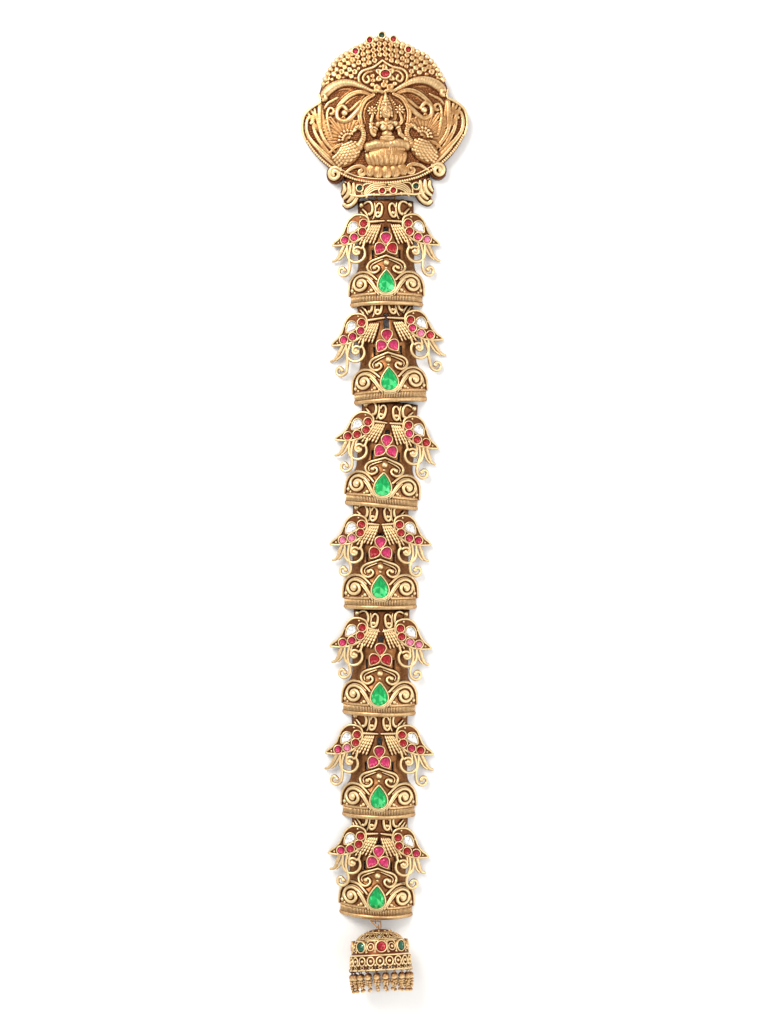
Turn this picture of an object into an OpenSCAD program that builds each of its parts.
// Braid ornament of cast metal, laid out flat: a domed crest, seven hinged plates and a small bell,
// joined by oval links at the back. X runs across, Y runs up towards the crest, Z rises off the table.

/* [Plates] */
// Width of a plate's ribbed band
band_w = 32.6; // [30:0.2:36]
// Height of a plate at its band
arch_rise = 9.6; // [8.6:0.1:11]
// Height of a plate at its neck
neck_rise = 6.2; // [5.6:0.1:7]
// Length of a plate from band to neck
plate_len = 46.5; // [44:0.5:50]
// Length of the ribbed band
band_len = 4.7; // [4:0.1:5.2]
// Length from the band's edge to the shoulder of the dome
dome_len = 15.4; // [14.5:0.1:16.5]
// Width across the two wing tips
wing_span = 45; // [43:0.5:50]
// Thickness of the wings
wing_t = 1.4; // [1.2:0.1:1.8]
// Thickness of the plate's metal
wall = 1.2; // [1:0.1:1.5]
// Height of the scrolls above the metal
relief = 0.7; // [0.4:0.05:0.9]

/* [Stones] */
// Width of the green pear stones
green_w = 7; // [6:0.1:7.6]
// Length of the green pear stones
green_len = 9.6; // [8.6:0.1:10]
// Width of the red drop stones
red_w = 4.2; // [3.8:0.1:4.4]
// Length of the red drop stones
red_len = 4.8; // [4.4:0.1:5]
// Width of the clear pear stones
clear_w = 3.9; // [3.4:0.1:4.2]
// Length of the clear pear stones
clear_len = 5.4; // [5:0.1:5.8]
// Width of the small round stones
round_d = 3.1; // [2.6:0.1:3.2]
// Thickness of a bezel's metal
bezel_t = 0.5; // [0.4:0.05:0.6]
// Gap between a stone and its bezel
stone_gap = 0.1; // [0.06:0.01:0.14]

/* [Links] */
// Thickness of the link wire
link_wire = 0.7; // [0.6:0.05:0.8]
// Thickness of the cross bars that the links run on
bar_d = 1; // [0.8:0.05:1.1]
// Length of the opening in a link
link_len = 8.8; // [8.6:0.1:9.6]
// Height of the opening in a link
link_gap = 1.8; // [1.7:0.05:2]
// Distance from the middle to a link
link_x = 4; // [3:0.1:4.4]

/* [Crest] */
// Width of the crest
crest_w = 72; // [68:0.5:76]
// Length of the crest from its beaded border to its top
crest_len = 67; // [64:0.5:70]
// Height of the crest plate in its middle
crest_rise = 8.6; // [8:0.1:10]
// Height of the crest plate at its sides
crest_rim = 4.3; // [3.8:0.1:5]
// Thickness of the crest's metal
crest_wall = 1.3; // [1.1:0.1:1.6]
// Height of the collar below the crest
collar_rise = 7.6; // [7:0.1:8.2]
// Height of the crest's leaves above its metal
crest_relief = 0.9; // [0.6:0.05:1.2]
// Width of the round stones of the crest
crest_stone_d = 2.3; // [2:0.05:2.5]
// Width of the crest's middle stone
centre_w = 3.9; // [3.4:0.1:4.4]
// Length of the crest's middle stone
centre_len = 3; // [2.6:0.1:3.4]
// Lean of the crest, to the left
crest_tilt = 2.2; // [0:0.1:4]
// Thickness of the hair pin's wire
pin_d = 1.2; // [1:0.1:1.4]
// Length of the hair pin's legs
pin_len = 26; // [20:1:30]
// Width between the hair pin's legs
pin_w = 12; // [9:0.5:14]

/* [Bell] */
// Width of the bell's mouth
bell_d = 26.4; // [25:0.2:28]
// Length of the bell
bell_len = 17.2; // [16:0.2:18.5]
// Thickness of the bell's metal
bell_wall = 0.9; // [0.8:0.05:1.1]
// Width of the bell's stones
bell_stone_d = 4; // [3.4:0.1:4.2]
// Width of the large bead of each drop
drop_d = 2.9; // [2.4:0.1:3]
// Thickness of the drops' ring wire
drop_wire = 0.45; // [0.4:0.05:0.5]
// Radius of the drops' rings
ring_r = 0.9; // [0.8:0.05:1]
// Radius of the two eyes that the bell hangs from
eye_r = 0.85; // [0.8:0.05:0.95]
// Thickness of the wire of the eyes and of the bail
eye_wire = 0.55; // [0.5:0.05:0.6]

/* [Hidden] */
// Every figure in the tables below is a share, in hundredths, of the named sizes that it follows.
$fn = 48;
SEGMENTS = 7;
numbers = [for (i = [1 : SEGMENTS]) str(i)];

// Cross section of a plate: an arc that reaches the table at both sides of the band
arch_r = (pow(band_w / 2, 2) + pow(arch_rise, 2)) / (2 * arch_rise);
arch_z = arch_rise - arch_r;
half_band = band_w / 2;
half_wing = wing_span / 2;
rise_drop = arch_rise - neck_rise;
// Columns: place along the plate in hundredths of the dome's length, and height in hundredths
// of the way from the neck's to the band's
dome_rows = [[0, 85], [6, 85], [6, 96], [12, 96], [12, 84], [28, 84], [28, 94], [34, 94],
             [46, 99], [62, 94], [76, 81], [88, 56], [100, 20], [125, 0]];
DOME_AT = 0;
DOME_UP = 1;
function row_y(r) = r[DOME_AT] / 100 * dome_len;
function row_r(r) = neck_rise + r[DOME_UP] / 100 * rise_drop - arch_z;
dome_profile = concat([for (r = dome_rows) [row_r(r), row_y(r)]], [[neck_rise - arch_z, plate_len]]);
inner_profile = concat(
    [for (i = [7 : len(dome_rows) - 1]) [row_r(dome_rows[i]) - wall, row_y(dome_rows[i])]],
    [[neck_rise - arch_z - wall, plate_len]]);
radius_table = [for (p = dome_profile) [p[1], p[0]]];
function arch_radius(y) = lookup(y, radius_table);
function arch_height(x, y) = sqrt(pow(arch_radius(y), 2) - x * x) + arch_z;

// The wings lie on a flatter arc that springs from the neck
wing_r = 60;
wing_top = neck_rise + 0.4;
function wing_height(x) = sqrt(wing_r * wing_r - x * x) + wing_top - wing_r;

// Places of the cross bars along a plate
bar_z = link_gap / 2 + link_wire + 0.7;
neck_bar_y = plate_len - 1.5;
band_bar_y = band_len + 0.7;

// How the chain was laid down, one row for each plate, because the plates were bent and soldered by hand.
// Columns: lean to the left in degrees, distance between the two bars of its links, shift to the right,
// how far its wings hang down, how far they spread, all in mm, and the slot above its red stones in
// hundredths of the plate's length
chain_rows = [[0.5, 5.2, 0, 1.5, 0.9, 5], [3.2, 2.8, -0.7, 1.9, 1.9, 15], [-5, 6.6, 0, 0.5, 0.1, 4],
              [-0.3, 4.9, -0.6, 0.3, -0.5, 3], [-1.5, 7.1, 0.6, -1.2, -0.4, 6], [-0.6, 5.2, 0.2, 0.7, 1, 7],
              [-2.4, 4, 0.6, 1.7, -0.6, 7]];
LEAN = 0;
BARS = 1;
SHIFT = 2;
WING_DROP = 3;
WING_OUT = 4;
SLOT = 5;

half_crest = crest_w / 2;
crest_bar = [-0.7, -2.7];
function turned(p, a) = [p[0] * cos(a) - p[1] * sin(a), p[0] * sin(a) + p[1] * cos(a)];
// Where the plates hang, from the foot of the crest
function neck_place(i) = bar_place(i) + [chain_rows[i][SHIFT], -chain_rows[i][BARS]];
function foot_place(i) = neck_place(i) - turned([0, neck_bar_y], chain_rows[i][LEAN]);
function bar_place(i) = i == 0 ? turned(crest_bar, crest_tilt)
                               : foot_place(i - 1) + turned([0, band_bar_y], chain_rows[i - 1][LEAN]);
// The origin lies in the middle of the whole length
bell_foot = [1.4, -3.5];
bell_reach = bell_len + 13.25;
chain_len = bell_reach - bell_foot[1] - foot_place(SEGMENTS - 1)[1];
crest_foot = [1, (chain_len - crest_len - 0.1) / 2];
function neck_point(i) = crest_foot + neck_place(i);
function plate_foot(i) = crest_foot + foot_place(i);
function bar_above(i) = crest_foot + bar_place(i);

// Small tools for outlines
function band_at(x, y) = [x / 100 * half_band, y / 100 * plate_len];
function wing_at(x, y) = [x / 100 * half_wing, y / 100 * plate_len];
function crest_at(x, y) = [x / 100 * half_crest, y / 100 * crest_len];
function band_path(rows) = [for (r = rows) band_at(r[0], r[1])];
function wing_path(rows) = [for (r = rows) wing_at(r[0], r[1])];
function crest_path(rows) = [for (r = rows) crest_at(r[0], r[1])];
function arc(c, r1, r2, a1, a2, n) =
    [for (i = [0 : n]) let (a = a1 + (a2 - a1) * i / n) c + (r1 + (r2 - r1) * i / n) * [cos(a), sin(a)]];
// A smooth curve through a few chosen points
function blend(a, b, c, d, t) =
    0.5 * (2 * b + (c - a) * t + (2 * a - 5 * b + 4 * c - d) * t * t + (3 * b - a - 3 * c + d) * t * t * t);
function smooth(p, n = 2) =
    concat([for (i = [0 : len(p) - 2], k = [0 : n - 1])
                blend(p[max(i - 1, 0)], p[i], p[i + 1], p[min(i + 2, len(p) - 1)], k / n)], [p[len(p) - 1]]);
function heading(p, i) =
    let (d = p[min(i + 1, len(p) - 1)] - p[max(i - 1, 0)]) d / norm(d);
function beside(p, i, w) = p[i] + w / 2 * [-heading(p, i)[1], heading(p, i)[0]];
function taper(i, n, w1, w2) = w1 + (w2 - w1) * i / n;

// A scroll of wire along a path, from width w1 to width w2, with round ends
function cap(c, d, w) = [for (t = [45, -45]) c + w / 2 * turned(d, t)];
module wire(p, w1, w2) {
    n = len(p) - 1;
    polygon(concat(
        [for (i = [0 : n]) beside(p, i, taper(i, n, w1, w2))],
        cap(p[n], heading(p, n), w2),
        [for (i = [n : -1 : 0]) beside(p, i, -taper(i, n, w1, w2))],
        cap(p[0], -heading(p, 0), w1)));
}

// Clean loops of one or more wires, without slivers and pinholes
module melted() {
    offset(delta = 0.05) offset(delta = -0.14) offset(delta = 0.09) children();
}

module both_sides() {
    children();
    mirror([1, 0, 0]) children();
}

// A pear with its point up; its widest place lies below its middle
function pear(w, l, n) =
    [for (i = [0 : n - 1]) let (a = 360 * i / n) [w / 1.54 * sin(a) * sin(a / 2), l / 2 * cos(a)]];
function oval(w, l, n) =
    [for (i = [0 : n - 1]) let (a = 360 * (i + 0.5) / n) [w / 2 * sin(a), l / 2 * cos(a)]];

// A cut stone on an outline: a low girdle, a ring of crown facets and a flat table
module cut_stone(outline, girdle, crown, table) {
    n = len(outline);
    low = [for (p = outline) [p[0], p[1], 0]];
    mid = [for (p = outline) [p[0], p[1], girdle]];
    top = [for (p = outline) [p[0] * table, p[1] * table, girdle + crown]];
    polyhedron(points = concat(low, mid, top), faces = concat(
        [[for (i = [n - 1 : -1 : 0]) i]],
        [for (r = [0, n], i = [0 : n - 1]) [r + i, r + (i + 1) % n, r + n + (i + 1) % n, r + n + i]],
        [[for (i = [0 : n - 1]) 2 * n + i]]));
}

// The same without a girdle, for the small stones
module small_stone(outline, crown, table) {
    n = len(outline);
    polyhedron(points = concat([for (p = outline) [p[0], p[1], 0]],
                               [for (p = outline) [p[0] * table, p[1] * table, crown]]),
               faces = concat([[for (i = [n - 1 : -1 : 0]) i]],
                              [for (i = [0 : n - 1]) [i, (i + 1) % n, n + (i + 1) % n, n + i]],
                              [[for (i = [0 : n - 1]) n + i]]));
}

// Sides of the stones' outlines
PEAR_SIDES = 12;
DROP_SIDES = 10;
ROUND_SIDES = 8;
seat_rise = 0.55;

// Places of a plate's stones
green_y = 21.5 / 100 * plate_len;
// Columns: across, along, turn of the point in degrees
red_rows = [[0, 62.8, 180], [12.9, 52.9, -148], [-12.9, 52.9, 148]];
clear_rows = [[60.9, 76.6, -138], [-60.9, 76.6, 138]];
round_rows = [[39.1, 80.4], [41.8, 72.7], [58.2, 67.7], [76, 65.6]];
ALL_ROUNDS = concat(round_rows, [for (r = round_rows) [-r[0], r[1]]]);
function wing_seat(p) = wing_height(p[0]) + seat_rise;
function red_seat() = neck_rise + 0.9;
green_seat = arch_height(0, green_y) + 0.35;
heart_y = 40 / 100 * plate_len;
side_slot = band_at(36.2, 48.6);

module at_rows(rows) {
    for (r = rows) translate(wing_at(r[0], r[1])) rotate(r[2]) children();
}

// Outlines of the stones and, grown by a gap or by the bezel, of their seats
module green_shape(g) {
    translate([0, green_y]) offset(delta = g) polygon(pear(green_w, green_len, PEAR_SIDES));
}
module red_shape(g) {
    at_rows(red_rows) offset(delta = g) polygon(pear(red_w, red_len, DROP_SIDES));
}
module clear_shape(g) {
    offset(delta = g) polygon(pear(clear_w, clear_len, DROP_SIDES));
}

module arch_turn() {
    translate([0, 0, arch_z]) rotate([-90, 0, 0]) rotate(180) rotate_extrude(angle = 180) children();
}
module above_table() {
    intersection() {
        children();
        translate([-100, -300, 0]) cube([200, 600, 60]);
    }
}

module plate_shell() {
    above_table() arch_turn()
        polygon(concat(dome_profile, [for (i = [len(inner_profile) - 1 : -1 : 0]) inner_profile[i]],
                       [[inner_profile[0][0], 0]]));
}

// The 2D drawing of its children, raised by h over the plate's metal
module on_plate(h) {
    intersection() {
        linear_extrude(height = arch_rise + 4) children();
        above_table() arch_turn()
            polygon(concat([for (p = dome_profile) if (p[1] >= band_len) p + [h, 0]],
                           [for (i = [len(dome_profile) - 1 : -1 : 0]) if (dome_profile[i][1] >= band_len)
                                dome_profile[i] - [wall / 2, 0]]));
    }
}

module dome_scrolls() {
    // the rim over the shoulder
    wire(band_path([[25, 23.4], [35, 26.9], [48, 30.5], [62, 31.8], [74, 31.2], [86, 28.6],
                    [94, 24.5], [98, 19.8], [99, 11]]), 0.9, 1);
    // the scroll that swings round the green stone and curls up under the shoulder
    wire(concat(smooth(band_path([[0, 9.8], [15.3, 10.8], [27.6, 15.5], [37.4, 21.1], [48.5, 25.8]])),
                arc(band_at(66.3, 20.1), 3.5, 1, 110, -400, 13)), 1.1, 1.3);
    // small balls in its corners
    for (q = band_path([[90, 15], [40, 14], [28, 11.6]])) translate(q) circle(d = 1.3, $fn = 6);
}

module heart_scroll() {
    wire(smooth(band_path([[0, 47], [20, 44.4], [40.5, 41.6], [49, 37], [45, 32], [32, 29.9], [21.5, 31.6],
                           [18.4, 34.8], [24, 37], [31, 35.7]])), 1, 1);
}

module neck_scrolls() {
    wire(wing_path([[17, 93], [14.8, 95.5], [10, 95.9], [7, 93.3], [7.4, 89], [10.4, 85.2], [15.6, 83.4],
                    [19, 85.3], [16.5, 87.7], [13, 87.1]]), 0.8, 0.9);
    wire(wing_path([[40, 97], [35, 98.4], [28.4, 97.6], [25, 93], [26.4, 88], [31.4, 86]]), 0.8, 1);
    translate(wing_at(45.6, 96)) circle(d = 1.9, $fn = 8);
}

// Wings, the curls below them and the fine leaves that join them to the middle, with the drop d and spread w
function spread(p, w) = [for (i = [0 : len(p) - 1]) p[i] + [w * min(1, i / 3), 0]];
module wing_drawing(d, w) {
    translate([w, -d]) {
        polygon(smooth(wing_path([[42.7, 89], [32, 86.5], [28.4, 80.9], [31.1, 74.4], [40, 68.6],
                                  [54.7, 63.7], [74.7, 61.3], [99.1, 61.3], [100, 61.7], [96, 64.3],
                                  [87.1, 67.5], [79.1, 72.3], [73.8, 78.1], [67.6, 84.5], [56, 88.8]]), 2));
        // big curl with its hook
        wire(concat([wing_at(37.3, 64.1)],
                    arc(wing_at(54.2, 52.9), 3.9, 3.9, 140, 360, 8),
                    [wing_at(71.6, 61.5)]), 1, 1);
        wire(concat([wing_at(38.2, 61.5)], arc(wing_at(52.4, 54.6), 2.2, 1.2, 150, -120, 6)), 0.9, 1.1);
        // hanging curl
        wire(smooth(spread(wing_path([[63.1, 61.9], [66.2, 52.9], [64, 45.6], [62.2, 39.8],
                                      [64.9, 34.8], [73.3, 32.3], [81.8, 34.2], [82.2, 38.3], [76, 40],
                                      [72, 37.6]]), 1.2 * w), 2), 1.1, 1);
        // small foot outside
        wire(smooth(spread(wing_path([[76.4, 61.9], [81.8, 55.9], [85.3, 51.2], [90.2, 47.7],
                                      [96.9, 46.5]]), 0.8 * w), 2), 2.1, 1.1);
        wire(smooth(wing_path([[56.9, 63.2], [59.6, 58.1], [56.9, 55.1]]), 2), 0.9, 0.8);
        // fine leaves fanned out below the ledge
        for (k = [0 : 2])
            wire([wing_at(8 + 5.5 * k, 79), wing_at(14.4 + 8 * k, 71.2), wing_at(22 + 9 * k, 63)], 0.9, 1);
    }
    wire([wing_at(3.4, 79.7), wing_at(40, 81.7) + [w, -d]], 1, 1.3);
}

module wing_turn() {
    translate([0, 0, wing_top - wing_r]) rotate([-90, 0, 0]) rotate(240)
        rotate_extrude(angle = 60) children();
}
module on_wings(h) {
    low = wing_r - wing_t;
    high = wing_r + h;
    intersection() {
        linear_extrude(height = neck_rise + 4) children();
        wing_turn() polygon([[low, 5], [high, 5], [high, plate_len + 5], [low, plate_len + 5]]);
    }
}

module seat_block(low, high) { translate([0, 0, low]) linear_extrude(height = high - low) children(); }

// Places its children at the stones of the wings, at height z above the wing
module at_wing_stones(i, rows, z) {
    for (r = rows)
        let (p = wing_at(r[0], r[1]) + [sign(r[0]) * chain_rows[i][WING_OUT], -chain_rows[i][WING_DROP]])
            translate([p[0], p[1], wing_height(p[0]) + z]) rotate(len(r) > 2 ? r[2] : 0) children();
}

module bar(y, r) {
    half = sqrt(pow(r - wall / 2, 2) - pow(bar_z - arch_z, 2));
    translate([-half, y, bar_z]) rotate([0, 90, 0]) cylinder(d = bar_d, h = 2 * half);
}

module segment(i) {
    slot_h = chain_rows[i][SLOT] / 100 * plate_len;
    hang = chain_rows[i][WING_DROP];
    out = chain_rows[i][WING_OUT];
    low = -0.7 * wing_t;
    color("goldenrod") difference() {
        union() {
            plate_shell();
            on_plate(relief) melted() both_sides() dome_scrolls();
            on_plate(relief * 1.2) melted() both_sides() {
                heart_scroll();
                neck_scrolls();
            }
            on_wings(0) melted() both_sides() wing_drawing(hang, out);
            // bezels
            seat_block(green_seat - wall, green_seat + 0.9) green_shape(stone_gap + bezel_t);
            seat_block(neck_rise - wall - 0.4, red_seat() + 0.7) red_shape(stone_gap + bezel_t);
            at_wing_stones(i, clear_rows, low)
                linear_extrude(height = seat_rise + 0.6 - low) clear_shape(stone_gap + bezel_t);
            at_wing_stones(i, ALL_ROUNDS, low)
                cylinder(d = round_d + 2 * (bezel_t + stone_gap), h = seat_rise + 0.5 - low);
            // a bead of metal inside the heart scroll
            translate([0, heart_y, arch_height(0, heart_y)]) sphere(d = 2.5);
            bar(neck_bar_y, arch_radius(neck_bar_y));
            bar(band_bar_y, arch_radius(band_bar_y));
            if (i == SEGMENTS - 1) drop_eye();
        }
        seat_block(green_seat, 40) green_shape(stone_gap);
        seat_block(red_seat(), 40) red_shape(stone_gap);
        at_wing_stones(i, clear_rows, seat_rise) linear_extrude(height = 20) clear_shape(stone_gap);
        at_wing_stones(i, ALL_ROUNDS, seat_rise) cylinder(d = round_d + 2 * stone_gap, h = 20);
        // pierced slots
        for (s = [-1, 1]) translate([s * side_slot[0], side_slot[1], -1])
            linear_extrude(height = 12) offset(r = 0.5, $fn = 8) square([0.1, 3], center = true);
        translate([0, 69 / 100 * plate_len + slot_h / 2, -1])
            linear_extrude(height = 12) offset(r = 0.6, $fn = 8) square([1.4, slot_h - 1.2], center = true);
    }
}

module placed(i) { translate(concat(plate_foot(i), [0])) rotate(chain_rows[i][LEAN]) children(); }

module green_stone() {
    color("seagreen") translate([0, green_y, green_seat + 0.05])
        cut_stone(pear(green_w, green_len, PEAR_SIDES), 0.8, 1.1, 0.62);
}

module red_stones() {
    color("crimson") for (r = red_rows) translate(concat(wing_at(r[0], r[1]), [red_seat() + 0.05]))
        rotate(r[2]) cut_stone(pear(red_w, red_len, DROP_SIDES), 0.5, 0.9, 0.58);
}

module clear_stones(i) {
    color("lightcyan") at_wing_stones(i, clear_rows, seat_rise + 0.05)
        cut_stone(pear(clear_w, clear_len, DROP_SIDES), 0.4, 0.7, 0.55);
}

module wing_stones(i) {
    color("firebrick") at_wing_stones(i, ALL_ROUNDS, seat_rise + 0.05)
        small_stone(oval(round_d, round_d, ROUND_SIDES), 1.1, 0.55);
}

// An oval ring of wire that stands on edge and runs round two cross bars
module oval_link() {
    r = (link_gap + link_wire) / 2;
    reach = (link_len - link_gap) / 2;
    rotate([0, 90, 0]) {
        for (s = [0, 180]) rotate(s) translate([0, reach, 0]) rotate_extrude(angle = 180)
            translate([r, 0]) circle(d = link_wire, $fn = 24);
        for (s = [-1, 1]) translate([s * r, reach, 0]) rotate([90, 0, 0])
            cylinder(d = link_wire, h = 2 * reach, $fn = 24);
    }
}

// Where a bar that is turned by a lies, at a distance x from its middle
function along_bar(p, a, x) = p + turned([x, 0], a);
function lean_above(i) = i == 0 ? crest_tilt : chain_rows[i - 1][LEAN];
module links(i) {
    color("darkgoldenrod") for (s = [-1, 1])
        let (a = along_bar(bar_above(i), lean_above(i), s * link_x),
             b = along_bar(neck_point(i), chain_rows[i][LEAN], s * link_x), m = (a + b) / 2, d = a - b)
            translate([m[0], m[1], bar_z]) rotate(atan2(d[1], d[0]) - 90) oval_link();
}

// Crest: a low dome, hollow behind, with a wall all round its edge
crest_drop = crest_rise - crest_rim;
crest_r = (half_crest * half_crest + crest_drop * crest_drop) / (2 * crest_drop);
crest_mid = [0, 48 / 100 * crest_len];
crest_z = crest_rise - crest_r;
border_r = 39.4 / 36 * half_crest;
border_mid = [0, border_r];
function crest_height(p) = sqrt(crest_r * crest_r - pow(norm(p - crest_mid), 2)) + crest_z;
module crest_ball(h) {
    translate(concat(crest_mid, [crest_z])) rotate([90, 0, 0]) sphere(r = crest_r + h, $fn = 200);
}
module placed_crest() { translate(concat(crest_foot, [0])) rotate(crest_tilt) children(); }

module crest_outline() {
    both_sides() {
        polygon(concat(
            [[-0.01, 0], [-0.01, crest_len - 2]],
            smooth(crest_path([[0, 96.7], [9.4, 95.5], [23.9, 92.4], [41.7, 87.6],
                               [57.2, 82.4], [69.2, 72.5], [76.1, 64.2]]), 2),
            smooth(crest_path([[78.3, 60.6], [76.7, 55.5], [85, 53.1], [96.1, 48.7],
                               [100, 42.7], [100, 36.7]]), 2),
            arc(border_mid, border_r, border_r, -28, -90, 10)));
        // leaves and curls that stand out below the border
        translate(crest_at(62.8, 8.7)) circle(r = 3.8, $fn = 14);
        polygon(smooth(crest_path([[34.4, 0], [33.3, -3.9], [36.1, -8.1], [41.7, -12.2], [49.4, -13.9],
                                   [54.4, -11.9], [53.3, -7.8], [56.7, -4.8], [54.4, 0], [44.4, 4.5]]), 2));
    }
}

module crest_plate() {
    difference() {
        intersection() {
            linear_extrude(height = crest_rise + 2) melted() {
                crest_outline();
                for (p = crest_stone_rows)
                    translate(crest_at(p[0], p[1])) circle(r = crest_stone_d / 2 + 0.2, $fn = 16);
            }
            crest_ball(0);
        }
        intersection() {
            translate([0, 0, -1]) linear_extrude(height = crest_rise + 2)
                offset(delta = -crest_wall) melted() crest_outline();
            crest_ball(-crest_wall);
        }
    }
}

module on_crest(h) {
    intersection() {
        linear_extrude(height = crest_rise + h + 2) melted() children();
        difference() {
            crest_ball(h);
            crest_ball(-crest_wall / 2);
        }
    }
}

// Columns: across and along
crest_stone_rows = [[0.6, 97.6], [-14.4, 94.6], [14.4, 94.6], [-32.2, 87.5], [32.2, 87.2]];
collar_stone_rows = [[-33.3, -1.8], [35, -1.8], [-6.1, -4.6], [7.2, -4.6]];

module crest_leaves() {
    wire(smooth(crest_path([[13.9, 58.2], [27.8, 60.6], [40.3, 59.4], [50.8, 54.9], [56.9, 51]]), 2),
         1.6, 2.2);
    wire(smooth(crest_path([[21.1, 55.5], [32.8, 47.8], [46.1, 41.8], [56.4, 43.7], [56.9, 49.3],
                            [50.3, 51.6], [45.3, 48.5]]), 2), 1.8, 1.1);
    wire(smooth(crest_path([[12.2, 57.9], [23.9, 54], [30, 46.1], [28.3, 39.1]]), 2), 1.9, 1.4);
    // long leaves at the side
    wire(smooth(crest_path([[59.5, 13], [77.8, 21.6], [93.1, 31.3], [97.2, 38.8], [95, 44.8],
                            [89.4, 46.6], [87.2, 43.9]]), 2), 1.2, 1);
    wire(smooth(crest_path([[61.1, 17.9], [75, 25.4], [86.1, 34.3], [89.4, 41.8]]), 2), 1.1, 1.1);
    wire(smooth(crest_path([[62, 21.8], [74.6, 30.2], [81.9, 40.3], [85, 50]]), 2), 1.1, 1.2);
    wire(smooth(crest_path([[65.3, 25.4], [73.1, 34.3], [76.1, 44.8], [77.8, 53]]), 2), 1.1, 1.1);
    wire(smooth(crest_path([[65.3, 29.9], [70.3, 38.8], [70.8, 46.3], [66.7, 50.7], [61.7, 49.9],
                            [62.2, 47.2]]), 2), 1, 1);
    // low scroll under the bird
    wire(smooth(crest_path([[51.4, 8.4], [41.7, 11.2], [31.9, 12.4], [26.1, 10.7], [26.4, 7.8],
                            [31.1, 6.9], [33.3, 8.8]]), 2), 1.2, 1);
    // curl outside the border
    wire(arc(crest_at(62.8, 8.7), 3.2, 0.9, 150, -320, 11), 1, 1);
    // flowers of the canopy
    for (r = [[22.6, 16, 73.6, 6], [17.4, 30, 74, 4]])
        for (p = arc(crest_at(0, 57.5), r[0], r[0], r[1], r[2], r[3])) translate(p) circle(d = 2, $fn = 6);
    wire(arc(crest_at(0, 57.5), 25, 24.6, 12, 58, 6), 0.9, 0.9);
}

module crest_arms() {
    wire(smooth(crest_path([[9.7, 59.7], [22.2, 62.7], [36.1, 66], [50, 66.6], [62.5, 64.2],
                            [70.8, 60.6], [73.9, 59.4]]), 2), 1.2, 2.9);
    wire(smooth(crest_path([[0, 79.1], [12.5, 75.5], [23.9, 73.4], [26.7, 69.6], [23.3, 65.1],
                            [13.9, 62.4], [6.7, 61.5]]), 2), 1.1, 1.1);
    for (p = arc(crest_at(0, 70.7), 3.2, 3.2, -60, 60, 2)) translate(p) circle(r = 1.45, $fn = 8);
    translate(crest_at(7.2, 62.1)) circle(r = 1.3, $fn = 8);
}

module crest_birds() {
    polygon([for (k = [0 : 11]) crest_at(45.6, 20.6) + turned([6.6 * cos(30 * k), 4.6 * sin(30 * k)], -33)]);
    wire(smooth(crest_path([[32.2, 23.1], [27.5, 28.4], [27.5, 33.4], [31.7, 36.7], [36.7, 36.4],
                            [38.1, 34.3]]), 2), 3, 1.4);
    for (k = [0 : 4])
        wire([for (r = [1.5, 8.4]) crest_at(42.2, 29.3) + turned([r, 0], 8 + 22 * k)], 1.2, 2.2);
}

module lotus() {
    polygon(smooth(crest_path([[-25.6, 20.7], [-25, 16.4], [-16.7, 12.2], [0, 10.7], [16.7, 12.2],
                               [25, 16.4], [25.6, 20.7], [0, 21.8]]), 2));
    for (k = [-1 : 1])
        translate(crest_at(0, 8.1) + [6.2 * k, abs(k) * 0.9]) rotate(180 + 16 * k)
            polygon(pear(5.6, 5.4, 9));
}

// A turned form that lies along the crest, with rows of place along and radius in mm
module turned_form(rows) {
    rotate([-90, 0, 0]) rotate_extrude()
        polygon(concat([[0, rows[0][0]]], [for (r = rows) [r[1], r[0]]], [[0, rows[len(rows) - 1][0]]]));
}

// Limbs of the seated figure: crossed legs, and two arms on each side, the upper hands with a flower
module figure_legs() {
    wire(smooth(crest_path([[-22.8, 23.9], [-11.1, 23.3], [0, 22.8], [15, 22.1]]), 2), 4.2, 3);
    wire(smooth(crest_path([[26.7, 23.9], [15.6, 23.6], [4.4, 23.3], [-10.6, 22.2]]), 2), 4.2, 3);
}
module figure_arms() {
    translate(crest_at(2.2, 0)) both_sides() {
        wire(smooth(crest_path([[8.3, 37.3], [14.4, 37.6], [18.9, 39.7], [17.8, 42.7], [16.4, 44.5]]), 2),
             2, 1.5);
        translate(crest_at(16.4, 46.6)) circle(r = 1.4, $fn = 8);
        wire(smooth(crest_path([[9.4, 37], [13.6, 34], [15.6, 31]]), 2), 2.1, 1.9);
    }
    wire(crest_path([[17.8, 31], [22.8, 28.7]]), 1.9, 1.6);
    wire(crest_path([[-13.3, 31], [-15.8, 34]]), 1.9, 1.6);
}
// Body, head and tall crown in one turned form.
// Columns: along the crest and radius, in mm on a crest 67 mm long
body_rows = [[16.6, 3.2], [19.2, 2.7], [21.4, 3], [24.2, 3.8], [25.6, 3.4], [26.5, 1.5], [27.2, 1.7],
             [28.4, 2.7], [30.2, 2.9], [31, 3.2], [32.4, 3.2], [33.6, 2.5], [35.2, 1.8], [36.6, 1.1],
             [38.3, 0.3]];

// The arched collar below the border
collar_half = 19 / 36 * half_crest;
collar_drop = 5.2;
lug_x = link_x + 2.6;
collar_r = (collar_half * collar_half + collar_drop * collar_drop) / (2 * collar_drop);
module collar_arch(low, h) {
    translate([0, 0, collar_rise - collar_r]) rotate([-90, 0, 0]) rotate(240) rotate_extrude(angle = 60)
        polygon([[collar_r - low, -12], [collar_r + h, -12], [collar_r + h, 5], [collar_r - low, 5]]);
}
function collar_height(x) = sqrt(collar_r * collar_r - x * x) + collar_rise - collar_r;

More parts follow.
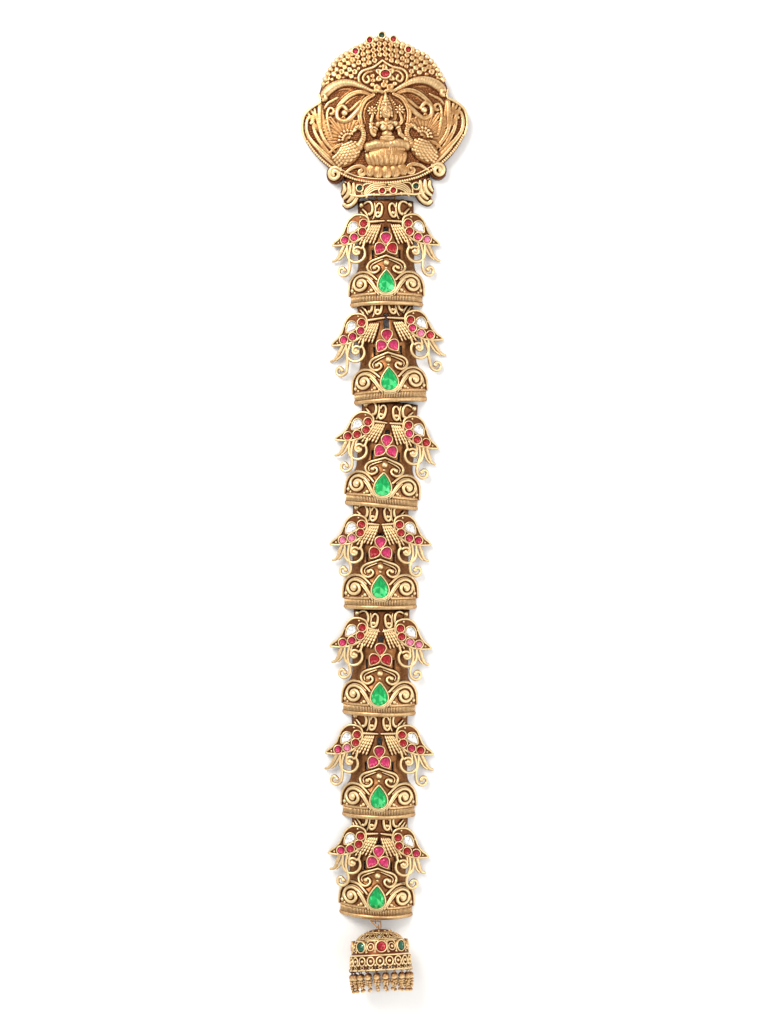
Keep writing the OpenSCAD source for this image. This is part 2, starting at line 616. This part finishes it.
module collar() {
    intersection() {
        linear_extrude(height = 12) melted() both_sides()
            polygon(smooth(crest_path([[0, 4.8], [33.3, 5.1], [52.2, 5.1], [52.8, 0], [45.8, -5.7],
                                       [33.3, -7.8], [20.6, -7.5], [9.4, -7.9], [0, -8.1]]), 2));
        collar_arch(crest_wall, 0);
    }
    intersection() {
        linear_extrude(height = 14) melted() both_sides() {
            for (k = [0 : 2])
                wire(smooth(crest_path([[2.2, 0.9], [16.7, 1.8], [25, -1.5], [28.3, -5.4]])
                            + k * [[0, -1.4], [0, -1.4], [-1.3, -0.9], [-1.6, -0.3]], 2), 0.8, 0.8);
            wire(smooth(crest_path([[51.1, 3.6], [44.4, 0.9], [40.6, -5.1]]), 2), 1, 0.9);
        }
        collar_arch(crest_wall / 2, 0.7);
    }
    // two lugs with the cross bar of the first links
    for (s = [-1, 1]) translate([crest_bar[0] + s * lug_x - 0.6, crest_bar[1] - 1.2, bar_z - 1.1])
        cube([1.2, 2.4, collar_height(lug_x) - crest_wall / 2 - bar_z + 1.1]);
    translate([crest_bar[0] - lug_x, crest_bar[1], bar_z]) rotate([0, 90, 0])
        cylinder(d = bar_d, h = 2 * lug_x);
}

// Stones of the crest stand on posts that end in a bezel
module crest_bezels(grow, low, h) {
    for (r = crest_stone_rows) let (p = crest_at(r[0], r[1]))
        translate(concat(p, [crest_height(p) + low])) cylinder(d = crest_stone_d + 2 * grow, h = h - low);
}
module collar_bezels(grow, low, h) {
    for (r = collar_stone_rows) let (p = crest_at(r[0], r[1]))
        translate(concat(p, [collar_height(p[0]) + low]))
            cylinder(d = crest_stone_d + 2 * grow, h = h - low);
}
centre_at = crest_at(2.8, 70.7);
centre_z = crest_height(centre_at) + 1.9;

module crest() {
    color("goldenrod") difference() {
        union() {
            crest_plate();
            on_crest(crest_relief) both_sides() crest_leaves();
            on_crest(1.8 * crest_relief) both_sides() crest_arms();
            on_crest(1.3 * crest_relief)
                wire(arc(border_mid, border_r - 0.5, border_r - 0.5, -152, -28, 26), 1, 1);
            on_crest(2.4 * crest_relief) both_sides() crest_birds();
            on_crest(1.7 * crest_relief) lotus();
            on_crest(2.6 * crest_relief) figure_legs();
            on_crest(2 * crest_relief) figure_arms();
            translate([0.8, 0, crest_height([0, crest_len * 0.3]) + 1])
                turned_form(body_rows * crest_len / 67);
            crest_bezels(stone_gap + bezel_t, -0.8 * crest_wall, 1.4);
            collar_bezels(stone_gap + bezel_t, -0.8 * crest_wall, 1.4);
            translate(concat(centre_at, [centre_z - 3])) linear_extrude(height = 3.8)
                polygon(oval(centre_w + 1.2, centre_len + 1.2, 16));
            collar();
            pin_lugs();
        }
        crest_bezels(stone_gap, 0.7, 20);
        collar_bezels(stone_gap, 0.7, 20);
        translate(concat(centre_at, [centre_z])) linear_extrude(height = 20)
            offset(delta = stone_gap) polygon(oval(centre_w, centre_len, 12));
        // small openings in the canopy
        for (s = [-1, 1]) translate(concat(crest_at(31.4 * s, 81.5), [-1])) cylinder(d = 1.5, h = 20);
        for (s = [-1, 1]) pin_leg(s, pin_d + 2 * pin_play);
    }
}

// Hair pin: a plain bent wire in two pairs of lugs behind the crest
pin_play = 0.15;
pin_z = pin_d / 2 + 1;
pin_foot = 20 / 67 * crest_len;
lug_rows = [26, 60];
module pin_leg(s, d) {
    translate([s * pin_w / 2, pin_foot, pin_z]) rotate([-90, 0, 0]) cylinder(d = d, h = pin_len);
}
module pin_lugs() {
    for (s = [-1, 1], r = lug_rows) let (p = [s * pin_w / 2, pin_foot + r / 100 * pin_len])
        translate([p[0] - 1.7, p[1] - 1.5, pin_z - 1.5])
            cube([3.4, 3, crest_height(p) - crest_wall / 2 - pin_z + 1.5]);
}
module crest_pin() {
    color("dimgray") {
        for (s = [-1, 1]) pin_leg(s, pin_d);
        for (s = [-1, 1]) translate([s * pin_w / 2, pin_foot + pin_len, pin_z]) rotate([-90, 0, 0])
            cylinder(d1 = pin_d, d2 = pin_d / 2, h = pin_d);
        translate([0, pin_foot, pin_z]) rotate(180) rotate_extrude(angle = 180)
            translate([pin_w / 2, 0]) circle(d = pin_d, $fn = 24);
    }
}
module crest_stone() { small_stone(oval(crest_stone_d, crest_stone_d, ROUND_SIDES), 1, 0.6); }
module crest_top_stones() {
    color("firebrick") for (r = crest_stone_rows) let (p = crest_at(r[0], r[1]))
        translate(concat(p, [crest_height(p) + 0.75])) crest_stone();
}
module collar_stones() {
    color("firebrick") for (r = collar_stone_rows) let (p = crest_at(r[0], r[1]))
        translate(concat(p, [collar_height(p[0]) + 0.75])) crest_stone();
}
module crest_centre_stone() {
    color("crimson") translate(concat(centre_at, [centre_z + 0.05]))
        cut_stone(oval(centre_w, centre_len, 12), 0.4, 0.8, 0.6);
}

// Bell, on its side. Columns: place from the top of the dome and radius, in hundredths of the bell's own
bell_r = bell_d / 2;
bell_rows = [[0, 14], [2, 24], [7, 42], [12, 54], [18.5, 67], [28, 78.5], [38, 86.5],
             [50, 91], [63, 95], [82.5, 97.5], [100, 100]];
bell_inner = [for (i = [10 : -1 : 2]) bell_rows[i] + [i == 10 ? 0 : 1.75, 0]];
DROPS = 20;
BELL_STONES = 8;
bell_tip = 14;
eye_out = 0.7;
bell_turn = 3;
bell_top = plate_foot(SEGMENTS - 1) + bell_foot;
hole_at = bell_len - 1.1;
stone_at = 0.425 * bell_len;
stone_turn = -4;
bell_stone_out = bell_radius(stone_at) + 0.95;
bell_bezel_d = bell_stone_d + 2 * (bezel_t + stone_gap);
// The bell lies on the edge of its lowest bezel
bell_z = (bell_stone_out - 0.2) * cos(bell_tip) - (stone_at - bell_bezel_d / 2) * sin(bell_tip);
function bell_radius(t) = lookup(t / bell_len * 100, bell_rows) / 100 * bell_r;
function bell_wall_at(t) = bell_radius(t) - bell_wall / 2;
module placed_bell() {
    translate(concat(bell_top, [bell_z])) rotate([90 - bell_tip, 0, bell_turn]) children();
}
// Round the bell: a turns about its axis from the top of the lying bell, t is the distance from its dome
module round_bell(a, t) {
    translate([0, 0, t]) rotate(90 + a) rotate([0, 90, 0]) children();
}

module bell() {
    petal_at = 0.77 * bell_len;
    color("goldenrod") placed_bell() difference() {
        union() {
            rotate_extrude() polygon(concat(
                [[0, 0]],
                [for (r = bell_rows) [r[1] / 100 * bell_r, r[0] / 100 * bell_len]],
                [for (r = bell_inner) [r[1] / 100 * bell_r - bell_wall, r[0] / 100 * bell_len]],
                [[0, 1.4]]));
            for (t = [0.285 * bell_len, 0.635 * bell_len])
                translate([0, 0, t]) rotate_extrude()
                    translate([bell_radius(t), 0]) circle(r = 0.4, $fn = 24);
            for (k = [0 : BELL_STONES - 1]) round_bell(stone_turn + 360 / BELL_STONES * k, stone_at)
                translate([0, 0, bell_stone_out - 2]) cylinder(d = bell_bezel_d, h = 1.8);
            for (k = [0 : DROPS - 1]) round_bell(360 / DROPS * k, petal_at)
                translate([0, 0, bell_wall_at(petal_at)])
                    cylinder(d = 3.1, h = bell_wall / 2 + 0.4, $fn = 10);
            translate([0, 0, -eye_out]) eye();
        }
        for (k = [0 : BELL_STONES - 1]) round_bell(stone_turn + 360 / BELL_STONES * k, stone_at)
            translate([0, 0, bell_stone_out - 0.95]) cylinder(d = bell_stone_d + 2 * stone_gap, h = 5);
        for (k = [0 : DROPS - 1]) round_bell(360 / DROPS * (k + 0.5), hole_at)
            translate([0, 0, bell_r - 4]) cylinder(d = 1.1, h = 8);
        for (k = [0 : DROPS / 2 - 1]) round_bell(720 / DROPS * k, 0.17 * bell_len)
            translate([0, 0, bell_r * 0.3]) cylinder(d = 1.1, h = 20);
    }
}
module bell_stones() {
    color("firebrick") placed_bell() for (k = [0 : BELL_STONES - 1])
        round_bell(stone_turn + 360 / BELL_STONES * k, stone_at) translate([0, 0, bell_stone_out - 0.9])
            cut_stone(oval(bell_stone_d, bell_stone_d, ROUND_SIDES), 0.3, 0.6, 0.6);
}

// One drop hangs on a ring through each hole.
// Columns of its beads: distance from the ring's middle in mm, width as a share of the large bead's
bead_rows = [[3.5, 1], [5.7, 0.62], [7.2, 0.5], [8.5, 0.42], [10.2, 0.55]];
function bead_profile(at, r) = [for (a = [-70 : 20 : 70]) [r * cos(a), at + r * sin(a)]];
drop_profile = concat([[0, ring_r]], [for (b = bead_rows, p = bead_profile(b[0], b[1] * drop_d / 2)) p],
                      [[0, bead_rows[4][0] + bead_rows[4][1] * drop_d / 2]]);
module bell_drops() {
    mid_r = bell_r - bell_wall / 2;
    color("darkgoldenrod") placed_bell() for (k = [0 : DROPS - 1])
        let (a = 360 / DROPS * (k + 0.5), sag = (cos(a) > 0 ? 40 : 24) * cos(a), swing = 25 * sin(a))
            round_bell(a, hole_at) translate([0, 0, mid_r]) rotate([0, 0, -swing])
            translate([-ring_r, 0, 0]) rotate([0, -sag, 0]) {
                rotate([90, 0, 0]) rotate_extrude() translate([ring_r, 0]) circle(d = drop_wire, $fn = 24);
                rotate([0, -90, 0]) rotate_extrude() polygon(drop_profile);
            }
}

// Eye under the last plate and the bail that carries the bell
eye_at = [0, -0.8, 8.1];
module eye() { rotate([0, 90, 0]) rotate_extrude() translate([eye_r, 0]) circle(d = eye_wire, $fn = 24); }
module drop_eye() { translate(eye_at) eye(); }
// A closed ring of round wire through the corners of a flat outline, with a small bead at each corner
module wire_ring(outline, d) {
    n = len(outline);
    for (i = [0 : n - 1]) {
        run = outline[(i + 1) % n] - outline[i];
        translate(outline[i]) rotate(atan2(run[1], run[0])) rotate([0, 90, 0])
            cylinder(d = d, h = norm(run), $fn = 24);
        translate(outline[i]) rotate_extrude()
            polygon([for (a = [-90 : 22.5 : 90]) (d / 2 + 0.06) * [cos(a), sin(a)]]);
    }
}
module bell_bail() {
    foot = plate_foot(SEGMENTS - 1) + turned([eye_at[0], eye_at[1]], chain_rows[SEGMENTS - 1][LEAN]);
    head = bell_top + turned([0, eye_out * cos(bell_tip)], bell_turn);
    lean = chain_rows[SEGMENTS - 1][LEAN];
    run = turned(head - foot, -lean);
    rise = bell_z - eye_out * sin(bell_tip) - eye_at[2];
    long = norm([run[1], rise]);
    color("darkgoldenrod") translate(concat(foot, [eye_at[2]])) rotate(lean)
        rotate([-atan2(rise, -run[1]), 0, 0])
            wire_ring([[-2.1, 0], [run[0] - 1, -long], [run[0] + 1, -long], [2.1, 0]], eye_wire);
}

placed_crest() crest();
placed_crest() crest_pin();
placed_crest() crest_top_stones();
placed_crest() crest_centre_stone();
placed_crest() collar_stones();
for (i = [0 : SEGMENTS - 1]) {
    placed(i) segment(i);
    placed(i) green_stone();
    placed(i) red_stones();
    placed(i) clear_stones(i);
    placed(i) wing_stones(i);
    links(i);
}
bell_bail();
bell();
bell_stones();
bell_drops();
